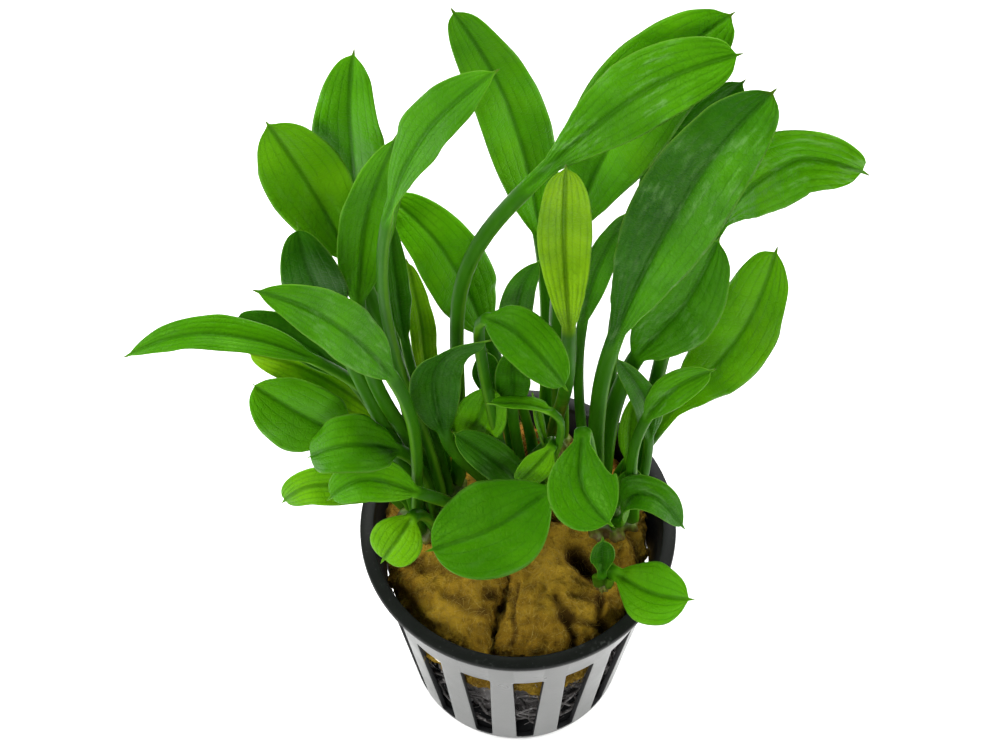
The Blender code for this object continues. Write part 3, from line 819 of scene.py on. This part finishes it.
def makeLeafFinish():
    finish, tree, shader = newMaterial("swordLeaf", Specular_IOR_Level=0.15,
                                       Specular_Tint=leafFinish["sheenTint"])
    across, along, half, under, tone, share, paintedSheen = [readValue(tree, key) for key in leafValues]
    place = objectPlace(tree)

    side = sums(tree, "ABSOLUTE", across)
    offset = times(tree, side, half)
    blade = spread(tree, share, 0.0, 0.08)

    waver = sums(tree, "SUBTRACT", grain(tree, place, 320.0, 2.0), 0.5)
    midrib = spread(tree, sums(tree, "ADD", offset, times(tree, waver, 0.15)), 0.12, 0.50, 1.0, 0.0)
    lines = None
    for vein in leafFinish["veins"]:
        gap = sums(tree, "SUBTRACT", sums(tree, "ADD", side, times(tree, waver, 0.05)), vein)
        near = times(tree, sums(tree, "ABSOLUTE", gap), half)
        line = spread(tree, near, 0.03, 0.16, 1.0, 0.0)
        lines = line if lines is None else sums(tree, "MAXIMUM", lines, line)

    slant = sums(tree, "MULTIPLY_ADD", offset, 0.55, along)
    rungs = sums(tree, "FRACT", sums(tree, "MULTIPLY_ADD", waver, 2.2,
                                         times(tree, slant, leafFinish["rungs"])))
    rung = spread(tree, sums(tree, "ABSOLUTE", sums(tree, "SUBTRACT", rungs, 0.5)), 0.02, 0.14, 1.0, 0.0)
    fade = spread(tree, grain(tree, place, 150.0, 1.0), 0.38, 0.62)
    rung = times(tree, rung, fade)

    ramp = addNode(tree, "ShaderNodeValToRGB")
    # the ramp turns each leaf's tone into its green; on leaves that lie in shadow that tone is painted shade
    mottle = sums(tree, "SUBTRACT", grain(tree, place, 110.0, 2.0), 0.5)
    mottle = sums(tree, "MULTIPLY_ADD", mottle, 0.30, tone)
    tree.links.new(mottle, ramp.inputs["Fac"])
    stops = ramp.color_ramp.elements
    while len(stops) < len(leafFinish["tones"]):
        stops.new(0.5)
    for stop, (position, colour) in zip(stops, leafFinish["tones"]):
        stop.position = position
        stop.color = (*colour, 1.0)
    colour = ramp.outputs["Color"]

    fine = grain(tree, place, 2600.0, 2.0)
    colour = blendColour(tree, spread(tree, fine, 0.35, 0.75, 0.0, 0.08), colour, leafFinish["rim"])
    broken = spread(tree, grain(tree, place, 190.0, 1.0), 0.30, 0.60, 0.35, 1.0)
    shade = times(tree, times(tree, lines, broken), leafFinish["veinShare"])
    for mark, most in ((rung, "rungShare"), (midrib, "midribShare")):
        shade = sums(tree, "MAXIMUM", shade, times(tree, mark, leafFinish[most]))
    shade = times(tree, shade, blade)
    colour = blendColour(tree, shade, colour, leafFinish["vein"])
    net = addNode(tree, "ShaderNodeTexVoronoi", {"Vector": place, "Scale": leafFinish["veinletScale"]},
                  feature="DISTANCE_TO_EDGE")
    veinlets = times(tree, spread(tree, net.outputs["Distance"], 0.02, 0.13, 1.0, 0.0), blade)
    faint = times(tree, veinlets, leafFinish["veinletShare"])
    colour = blendColour(tree, faint, colour, leafFinish["veinlet"])
    cloud = spread(tree, grain(tree, place, 75.0, 2.0), 0.42, 0.66, 0.0, leafFinish["cloudShare"])
    colour = blendColour(tree, times(tree, cloud, blade), colour, leafFinish["cloud"])
    # painted highlight: pale dashed streaks along the blade, strongest on the leaves given the most sheen
    lane = times(tree, across, half)
    dashes = addNode(tree, "ShaderNodeCombineXYZ", {0: times(tree, slant, 0.22),
                                                    1: times(tree, lane, 0.9)}).outputs[0]
    paintedGleam = spread(tree, grain(tree, dashes, 1.0, 4.0, 0.65), 0.48, 0.72)
    paintedGleam = times(tree, paintedGleam, spread(tree, grain(tree, place, 60.0, 1.0), 0.40, 0.60))
    paintedGleam = times(tree, paintedGleam, times(tree, paintedSheen, blade))
    edge = spread(tree, sums(tree, "SUBTRACT", half, offset), 0.03, 0.16, leafFinish["rimShare"], 0.0)
    for over, key in ((times(tree, paintedGleam, leafFinish["paintedGleamShare"]), "paintedGleam"),
                      (times(tree, edge, blade), "rim"),
                      (times(tree, under, leafFinish["underShare"]), "underside")):
        colour = blendColour(tree, over, colour, leafFinish[key])

    streak = grain(tree, objectPlace(tree, (900.0, 900.0, 60.0)), 1.0, 2.0)
    stalkColour = blendColour(tree, streak, leafFinish["stalk"], leafFinish["stalkStreak"])
    stalkColour = blendColour(tree, spread(tree, side, 0.80, 0.97, 0.0, 0.25), stalkColour, leafFinish["rim"])
    foot = spread(tree, share, -1.25, -0.92, leafFinish["footShare"], 0.0)
    stalkColour = blendColour(tree, foot, stalkColour, leafFinish["stalkFoot"])
    colour = blendColour(tree, blade, stalkColour, colour)
    beak = spread(tree, share, 0.972, 0.99)
    colour = blendColour(tree, times(tree, beak, leafFinish["beakShare"]), colour, leafFinish["beak"])
    tree.links.new(colour, shader.inputs["Base Color"])

    cloudy = grain(tree, place, 260.0, 3.0)
    rough = spread(tree, cloudy, 0.3, 0.7, leafFinish["rough"] - 0.06, leafFinish["rough"] + 0.12)
    rough = sums(tree, "MULTIPLY_ADD", under, 0.12, rough)
    tree.links.new(rough, shader.inputs["Roughness"])

    relief = sums(tree, "MULTIPLY_ADD", veinlets, -0.25, times(tree, shade, -1.0))
    relief = sums(tree, "MULTIPLY_ADD", paintedGleam, 0.4, sums(tree, "MULTIPLY_ADD", fine, 0.25, relief))
    normal = bumpFrom(tree, relief, 0.00016, 0.8)
    tree.links.new(normal, shader.inputs["Normal"])

    glow = addNode(tree, "ShaderNodeBsdfTranslucent")
    glowColour = blendColour(tree, 0.5, colour, leafFinish["glow"])
    tree.links.new(glowColour, glow.inputs["Color"])
    both = addNode(tree, "ShaderNodeMixShader", {0: leafFinish["glowShare"]})
    tree.links.new(shader.outputs[0], both.inputs[1])
    tree.links.new(glow.outputs[0], both.inputs[2])
    tree.links.new(both.outputs[0], tree.nodes["Material Output"].inputs["Surface"])
    return finish


swordLeaf = makeLeafFinish()
print("leaf finish ready")

# Leaves.
# Places are in millimetres and angles in degrees.  seat is where the stalk leaves its crown, base where the
# blade starts, belly its middle and tip its end.  width is the whole blade's, tone goes from deep green 0 to
# lime 1, and what a row leaves out is as in leafPlain.  On leaves that lie in the shade of others the low
# tone is painted shade.
leafPlain = {
    "roll": 0,                 # turns the blade about its midrib
    "lift": 12,                # folds its halves up
    "widest": 0.5,             # share of the blade's length
    "bend": 0.35,              # how straight up the stalk starts
    "pull": None,              # how softly the stalk meets the blade, if not as in leafBuild
    "foot": 0.85,              # lower is fuller, before and after the middle
    "end": 0.40,
    "beak": 1.0,               # size of the small point at the tip
    "puff": 0.07,              # how far the skin swells between the veins
    "ripple": 0.30,            # height of the waves in the edge
    "brightSide": 0.0,         # added to the tone on one side of the midrib
    # how strongly the painted highlight streaks show on this leaf
    "paintedSheen": 0.15,
}
leafShapes = {
    # seat, base, belly, tip, width, tone (painted shade on leaves in shadow), and what isn't plain
    "leaf_left_01": ((-15, 6), (-24, 8, 108), (-30, 15, 117), (-35, 15, 132), 12, 0.6,
        dict(end=0.42, foot=0.7)),
    "leaf_left_02": ((-14, 9), (-23, 21, 92), (-24, 20, 123), (-23, 23, 138), 11.5, 0.46,
        dict(roll=-16, end=0.42, foot=0.7)),
    "leaf_left_03": ((-13.5, 4.5), (-23, 3, 104), (-21.5, 10, 117), (-17, 13, 132), 8.5, 0.46,
        dict(roll=22, lift=14, widest=0.45)),
    "leaf_left_04": ((-12, 2.5), (-18.5, 3.2, 124), (-13, 5, 143), (-3, 6, 157), 7.8, 0.4,
        dict(roll=-20, end=0.6, widest=0.6, foot=1)),
    # this leaf's very low tone is painted shade: it lies in the shadow of the leaves in front of it
    "leaf_left_05": ((-15.5, 0), (-26.5, 2.8, 98), (-29.6, 2.4, 115), (-31, 6, 121), 9, 0.02,
        dict(roll=-6, lift=10, widest=0.55, end=0.42, beak=0.2)),
    "leaf_left_06": ((-11, 4.5), (-17, 11, 79), (-18, 12, 94), (-19, 16, 108), 4, 0.3,
        dict(roll=30, lift=14)),
    "leaf_left_07": ((-11.5, 9), (-14, 16, 55), (-15, 17, 75), (-17, 20, 90), 4.5, 0.97,
        dict(roll=26, lift=14)),
    "leaf_left_08": ((-15.5, -2.5), (-18, -4, 95), (-27, -7, 117), (-36, -9, 127), 8.5, 0.38,
        dict(roll=14, puff=0.14, end=0.58, paintedSheen=0.7)),
    "leaf_left_09": ((-16.5, 4.5), (-29, 4, 86), (-45, 4, 94), (-58, 3, 89), 6, 0.44,
        dict(roll=26, lift=14, bend=0.45, end=0.6, paintedSheen=0.5)),
    "leaf_left_10": ((-18.5, 6), (-26, 8, 76), (-33, 9, 85), (-43, 11, 88), 6, 0.08,
        dict(roll=6, lift=10, widest=0.45, beak=0.4)),
    "leaf_left_11": ((-12, 7), (-19, 9, 58), (-32, 10, 74), (-42, 12, 76), 7.5, 0.86, dict(roll=-8)),
    "leaf_left_12": ((-19, 3.5), (-27, 5, 62), (-34.5, 4, 73), (-40.5, 5, 79), 12.5, 0.48,
        dict(roll=-20, lift=10, beak=0.1, end=0.42)),
    "leaf_left_13": ((-13, 0.5), (-18, -1, 69), (-25, -4, 76), (-32, -3, 70), 9, 0.36,
        dict(roll=14, lift=10, beak=0.4, ripple=0.6)),
    "leaf_left_14": ((-17, 2), (-19, 2, 50), (-31, 0, 56), (-37, 0, 50), 6.5, 0.64, dict(roll=-15, lift=10)),
    "leaf_left_15": ((-9.5, 0), (-15, -6, 65), (-23, -6, 69), (-29, -7, 64), 7, 0.52, dict(roll=5)),
    "leaf_left_16": ((-13, -2.5), (-16, -8, 61), (-18, -11, 60), (-21, -13, 55), 8.2, 0.72, dict(lift=10)),
    "leaf_left_17": ((-9.5, 8), (0, 13, 118), (16, 14, 141), (29, 14, 150), 10.5, 0.4,
        dict(widest=0.66, bend=0.62, puff=0.2, end=0.36, paintedSheen=0.9)),
    "leaf_centre_01": ((-0.5, 10.5), (-5, 16, 74), (-12, 18, 97), (-20, 24, 101), 10.5, 0.5,
        dict(roll=8, lift=10)),
    "leaf_centre_02": ((-3.5, 3.5), (-11, 1, 70), (-12, 2, 89), (-4, 1, 98), 8, 0.06,
        dict(roll=16, lift=14, end=0.55, beak=0.3)),
    "leaf_centre_03": ((-1.5, 2.5), (-5, 2.2, 102), (0, -2, 104.5), (7, -8, 99), 8, 0.36,
        dict(roll=-8, end=0.45, paintedSheen=0.4)),
    "leaf_centre_04": ((2.5, 10), (-1, 7, 86), (0, 7, 102), (3, 8, 109), 5, 0.2, dict(roll=-4)),
    "leaf_centre_05": ((-1.5, 6.5), (-8, 3.6, 64), (-6, 3.6, 72), (-4, 4.6, 80), 8.5, 0.6,
        dict(roll=13, beak=0.1)),
    "leaf_centre_06": ((-3, 8.5), (-4, 9, 67), (-5, 11, 71), (-5, 11, 79), 4.5, 0.25, dict(lift=10)),
    "leaf_centre_07": ((1, 5), (-1, 6, 69), (-1, 6, 77), (-1, 5, 90), 5.5, 0.2, dict(roll=-4, lift=10)),
    "leaf_centre_08": ((3.5, 3), (5, -1, 81), (0, 1, 80), (-5, 0, 82), 4, 0.5, dict(roll=58, lift=10)),
    "leaf_centre_09": ((4, 5.5), (4, 3, 65), (3, 4, 70), (2, 6, 75), 2.5, 0.6, dict(roll=50, lift=10)),
    "leaf_centre_10": ((1, 2.5), (3, -3, 58), (-4, 0, 65), (-10, -1, 75), 6, 0.22, dict(roll=4, paintedSheen=0.5)),
    "leaf_centre_11": ((1, 8), (5, -1, 71), (3, -3, 69), (-1, -5, 65), 5, 0.65, dict(roll=-22, lift=14)),
    "leaf_back_01": ((4.5, 17.5), (3, 23, 91), (-2, 26.7, 120), (-10, 28.6, 140), 10, 0.52,
        dict(lift=10, end=0.38, foot=0.7)),
    "leaf_back_02": ((6.5, 16), (7, 17, 99), (16, 19, 133), (28, 20, 151), 14, 0.5,
        dict(widest=0.58, end=0.38)),
    "leaf_back_03": ((5.5, 13.5), (7, 2, 98), (6, 8, 115), (6, 9, 131), 8, 0.92,
        dict(roll=4, lift=14, widest=0.58, puff=0.22, end=0.34, foot=0.6)),
    "leaf_right_01": ((12, 3), (13, 4, 89), (23, 5, 132), (33, 7, 152), 13, 0.04,
        dict(widest=0.62, puff=0.24, end=0.36, foot=0.8, brightSide=0.3, paintedSheen=0.6)),
    "leaf_right_02": ((13.5, 8), (17, 14, 108), (23, 17, 126), (30, 17, 140), 8, 0.28, {}),
    "leaf_right_03": ((18.5, 6.1), (27, 14, 105), (37, 9.4, 132.2), (47, 7, 132), 10.5, 0.52,
        dict(roll=8, widest=0.64, puff=0.26, ripple=0.2, end=0.36, paintedSheen=0.9, foot=0.9)),
    "leaf_right_04": ((13, 5), (17, 8, 81), (24, 9, 96), (28, 10, 112), 11.5, 0.32,
        dict(lift=16, puff=0.18, paintedSheen=0.7)),
    "leaf_right_05": ((16.5, 7.5), (21, 12, 52), (33, 12, 83), (37, 15, 102), 11.5, 0.62,
        dict(roll=-12, widest=0.62, end=0.38)),
    "leaf_right_06": ((10.5, 5.5), (9, 8, 90), (11, 9, 105), (15, 9, 120), 4.5, 0.3, dict(paintedSheen=0.9)),
    "leaf_right_07": ((18, 0), (19, 3, 72), (23, 5, 78), (29, 5, 84), 5.5, 0.4,
        dict(roll=8, lift=14, paintedSheen=0.9)),
    "leaf_right_08": ((19, 2.5), (20, 5.8, 61), (19, 6, 73), (14, 5, 87), 4.5, 0.2,
        dict(lift=14, widest=0.4)),
    "leaf_right_09": ((15.5, 4.5), (17, 5, 55), (17, 7, 64), (18, 10, 69), 3.5, 0.65, dict(roll=-8, lift=14)),
    "leaf_right_10": ((15, -1), (16, -2, 49), (19, -3, 60), (26, -5, 52), 6, 0.22,
        dict(roll=-12, lift=24, ripple=0.1, paintedSheen=0.5, foot=1, end=0.6)),
    "leaf_right_11": ((14.5, 2), (15, 1, 49), (17, 3, 51), (18, 3, 58), 4.5, 0.2, dict(roll=3)),
    "leaf_right_12": ((12.5, -0.5), (9.3, -5.4, 83), (9.4, -12, 78.6), (14, -19, 79), 11, 0.33,
        dict(roll=4, lift=10, widest=0.6, end=0.45, foot=0.75, pull=0.05, ripple=0.05)),
    "leaf_right_13": ((10, 0), (5, -7, 68), (-3, -12, 66), (-14, -15, 63), 15, 0.31, dict(lift=8, end=0.45)),
    "leaf_plantlet_01": ((12.5, -10.5), (13, -12, 50), (13, -10, 51), (13, -9, 57), 4, 0.08,
        dict(roll=8, lift=10)),
    "leaf_plantlet_02": ((14.5, -9.5), (15, -10, 47), (21, -15, 50), (27, -18, 54), 10, 0.55,
        dict(lift=8, widest=0.55, end=0.42, paintedSheen=0.3)),
}
leafBuild = {
    "columns": 60,             # faces round a leaf, half of them on its top
    "footRows": 4,
    "stalkRows": 22,
    "bladeRows": 76,
    "seatHeight": 46.5,
    "footHeight": 42.6,
    "stalkHalf": 1.3,
    "stalkDepth": 1.9,
    "bladeDepth": 0.34,
    "sharpTurn": 62.0,         # degrees between a stalk and its blade
    "pullSharp": 0.12,
    "pullSoft": 0.35,
    "grooveDepth": 0.26,       # along the midrib on top
    "keelDepth": 0.62,         # and below
    "beakLength": 1.7,
    "beakHalf": 0.34,
    "facing": Vector((0.0, -0.5, 0.86)).normalized(),
    "bezierPoints": 60,
}


def alongLine(line, shares):
    reached = [0.0]
    for before, after in zip(line, line[1:]):
        reached.append(reached[-1] + (after - before).length)
    found = []
    index = 0
    for share in shares:
        goal = share * reached[-1]
        while index < len(line) - 2 and reached[index + 1] < goal:
            index += 1
        part = (goal - reached[index]) / (reached[index + 1] - reached[index])
        found.append(line[index].lerp(line[index + 1], part))
    return found, reached[-1]


def leafSpine(name, leaf):
    # the points up the stalk and blade, the share along the blade at each, and the blade's length
    seat = mm(*leaf["seat"], leafBuild["seatHeight"])
    base, belly, tip = (mm(*leaf[key]) for key in ("base", "belly", "tip"))
    bend = leaf["bend"]
    stalk, half, rest = base - seat, belly - base, tip - belly
    arched = bend > 0.5
    leave = (stalk.normalized() + Vector((0.0, 0.0, 4.0 if arched else 0.9))).normalized()
    enter = (half.normalized() * 0.6 + stalk.normalized() * (0.1 if arched else 0.4)).normalized()
    along = (tip - base).normalized()
    droop = (rest + (rest - half) * 0.25).normalized()
    sharp = stalk.angle(half) > math.radians(leafBuild["sharpTurn"])
    pull = leaf["pull"] or leafBuild["pullSharp" if sharp else "pullSoft"]
    count = leafBuild["bezierPoints"]
    stalkLine = interpolate_bezier(seat, seat + leave * stalk.length * bend,
                                   base - enter * stalk.length * pull, base, count)
    first = interpolate_bezier(base, base + enter * half.length * 0.33, belly - along * half.length * 0.33,
                               belly, count)
    second = interpolate_bezier(belly, belly + along * rest.length * 0.33, tip - droop * rest.length * 0.33,
                                tip, count)
    middle = crownShape["crown" + name.split("_")[1].capitalize()][1]
    crown = mm(*middle, leafBuild["footHeight"])
    foot = crown.lerp(seat, 0.6)
    foot.z = crown.z
    rows = leafBuild["footRows"]
    footPoints = [foot.lerp(seat, row / rows) for row in range(rows)]
    rows = leafBuild["stalkRows"]
    stalkPoints, _ = alongLine(stalkLine, [row / rows for row in range(rows)])
    rows = leafBuild["bladeRows"]
    shares = [1.0 - (1.0 - row / rows) ** 1.25 for row in range(rows + 1)]   # closer rows by the tip
    bladePoints, length = alongLine(first + second[1:], shares)
    before = len(footPoints) + len(stalkPoints)
    stalkShares = [(row - before) / leafBuild["stalkRows"] for row in range(before)]
    return footPoints + stalkPoints + bladePoints, stalkShares + shares, length * 1000.0


def leafFrames(points, middle, roll):
    # way along, side and facing normal at each row, carried from the widest row without twisting
    last = len(points) - 1
    ways = [(points[min(row + 1, last)] - points[max(row - 1, 0)]).normalized() for row in range(last + 1)]
    facing = leafBuild["facing"]
    facing = (facing - ways[middle] * facing.dot(ways[middle])).normalized()
    facing.rotate(Quaternion(ways[middle], math.radians(roll)))
    normals = {middle: facing}
    for order in (range(middle + 1, last + 1), range(middle - 1, -1, -1)):
        carried = facing
        for row in order:
            carried = (carried - ways[row] * carried.dot(ways[row])).normalized()
            normals[row] = carried
    return [(ways[row].cross(normals[row]), normals[row]) for row in range(last + 1)]


def bladeHalf(leaf, share, length):
    # half the blade's width at this share of its length, with the small beak at its end
    stretch = math.log(leaf["widest"]) / math.log(0.48)
    body = min(1.0, share * length / (length - leafBuild["beakLength"] * 0.8))
    wave = math.sin(math.pi * min(1.0, body ** (0.945 / stretch)))
    power = leaf["foot" if body ** (1.0 / stretch) < 0.48 else "end"]
    half = max(0.0, wave) ** power * leaf["width"] / 2
    fromTip = (1.0 - share) * length
    beak = leaf["beak"] * leafBuild["beakHalf"] * min(1.0, fromTip / leafBuild["beakLength"]) ** 0.8
    if fromTip > leafBuild["beakLength"] * 3:
        beak = 0.0
    return (half ** 3 + beak ** 3) ** (1 / 3)


def makeLeaf(name, leaf, order):
    points, shares, length = leafSpine(name, leaf)
    middle = min(range(len(shares)), key=lambda row: abs(shares[row] - leaf["widest"]))
    frames = leafFrames(points, middle, leaf["roll"])
    lift = math.radians(leaf["lift"])
    stalkHalf = min(leafBuild["stalkHalf"], 0.5 + leaf["width"] * 0.07)
    last = len(points) - 1
    seed = order * 7.31

    bm = bmesh.new()
    columns = leafBuild["columns"]
    bmesh.ops.create_grid(bm, x_segments=columns, y_segments=last, size=1.0)
    layers = [bm.verts.layers.float.new(key) for key in leafValues]
    for vert in bm.verts:
        turn = (vert.co.x + 1.0) / 2 * columns
        row = round((vert.co.y + 1.0) / 2 * last)
        share = shares[row]
        circled = math.cos(turn / columns * math.tau)
        top = turn <= columns / 2
        even = 1.0 - 4.0 * turn / columns if top else -3.0 + 4.0 * turn / columns
        if share < 0.0:
            bladeness = 0.0
            half = stalkHalf
            if share < -0.55:
                half *= 1.0 + 0.25 * smoothStep(-0.55, -1.15, share)
        else:
            bladeness = smoothStep(0.0, 0.13, share)
            half = max(bladeHalf(leaf, share, length), stalkHalf * (1.0 - smoothStep(0.5, 1.0, share)))
        even = even * (1.0 - 0.12 * (1.0 - even * even))
        u = circled + (even - circled) * bladeness
        x = u * half
        rim = math.sqrt(max(0.0, 1.0 - u * u))
        sign = 1.0 if top else -1.0

        stalkZ = sign * rim * leafBuild["stalkDepth"] / 2 * (stalkHalf / leafBuild["stalkHalf"])
        taper = 1.0 - 0.75 * max(0.0, share)
        bladeZ = sign * rim ** 0.5 * leafBuild["bladeDepth"] / 2 * (1.0 - 0.45 * max(0.0, share))
        if top:
            bladeZ -= leafBuild["grooveDepth"] * taper * math.exp(-(x / 0.5) ** 2)
        else:
            bladeZ -= leafBuild["keelDepth"] * taper * math.exp(-(x / (0.35 + 0.45 * taper)) ** 2)
        fold = (math.sqrt(x * x + 0.16) - 0.4) * math.tan(lift)
        arch = 0.055 * half * math.sin(math.pi * min(1.0, abs(u)))
        spot = Vector((share * length * 0.16, u * 1.2, seed))
        side = 1.0 if u > 0 else -1.0
        wave = math.sin(share * length / 1.55 + side * 1.3 + seed + 2.2 * noise.noise(spot))
        bladeZ += (fold + arch
                   + leaf["ripple"] * wave * abs(u) ** 3 * smoothStep(0.03, 0.2, share) * min(1.0, half / 4))
        lane = abs(u) / 0.28
        swell = abs(math.sin(math.pi * lane)) if lane > 0.35 else 0.0
        cell = 0.5 + 0.5 * math.sin((share * length + abs(x) * 0.55) / 0.62 + seed
                                    + 3.0 * noise.noise(Vector((x * 0.5, share * length * 0.3, seed))))
        bladeZ += leaf["puff"] * swell * (0.35 + 0.65 * cell) * min(1.0, half / 3.0)
        broad = noise.noise(Vector((x * 0.16, share * length * 0.10, seed + 3.0)))
        bladeZ += 0.5 * broad * min(1.0, half / 4) * smoothStep(0.0, 0.2, share)
        z = stalkZ + (bladeZ - stalkZ) * bladeness
        sideWay, normal = frames[row]
        out = x * (1.0 + (math.cos(lift) - 1.0) * bladeness)
        if row in (0, last):
            out, z = 0.0, 0.0
        vert.co = points[row] + (sideWay * out + normal * z) * 0.001
        # the tone written here is the leaf's green, with painted shade on the leaves that lie in shadow
        values = (u, share * length, half, 0.5 - 0.5 * sign * min(1.0, rim * 4),
                  leaf["tone"] + leaf["brightSide"] * smoothStep(-0.3, 0.4, u), share, leaf["paintedSheen"])
        for layer, value in zip(layers, values):
            vert[layer] = value
    bmesh.ops.remove_doubles(bm, verts=bm.verts, dist=0.000004)
    bmesh.ops.recalc_face_normals(bm, faces=bm.faces)
    pieceName = "".join(word.capitalize() if at else word for at, word in enumerate(name.split("_")))
    addPiece(pieceName, meshOf(bm, pieceName), [swordLeaf], [name])


for order, (name, (*places, special)) in enumerate(leafShapes.items()):
    row = dict(zip(("seat", "base", "belly", "tip", "width", "tone"), places))
    makeLeaf(name, {**leafPlain, **row, **special}, order)
print("leaves made:", len(leafShapes))
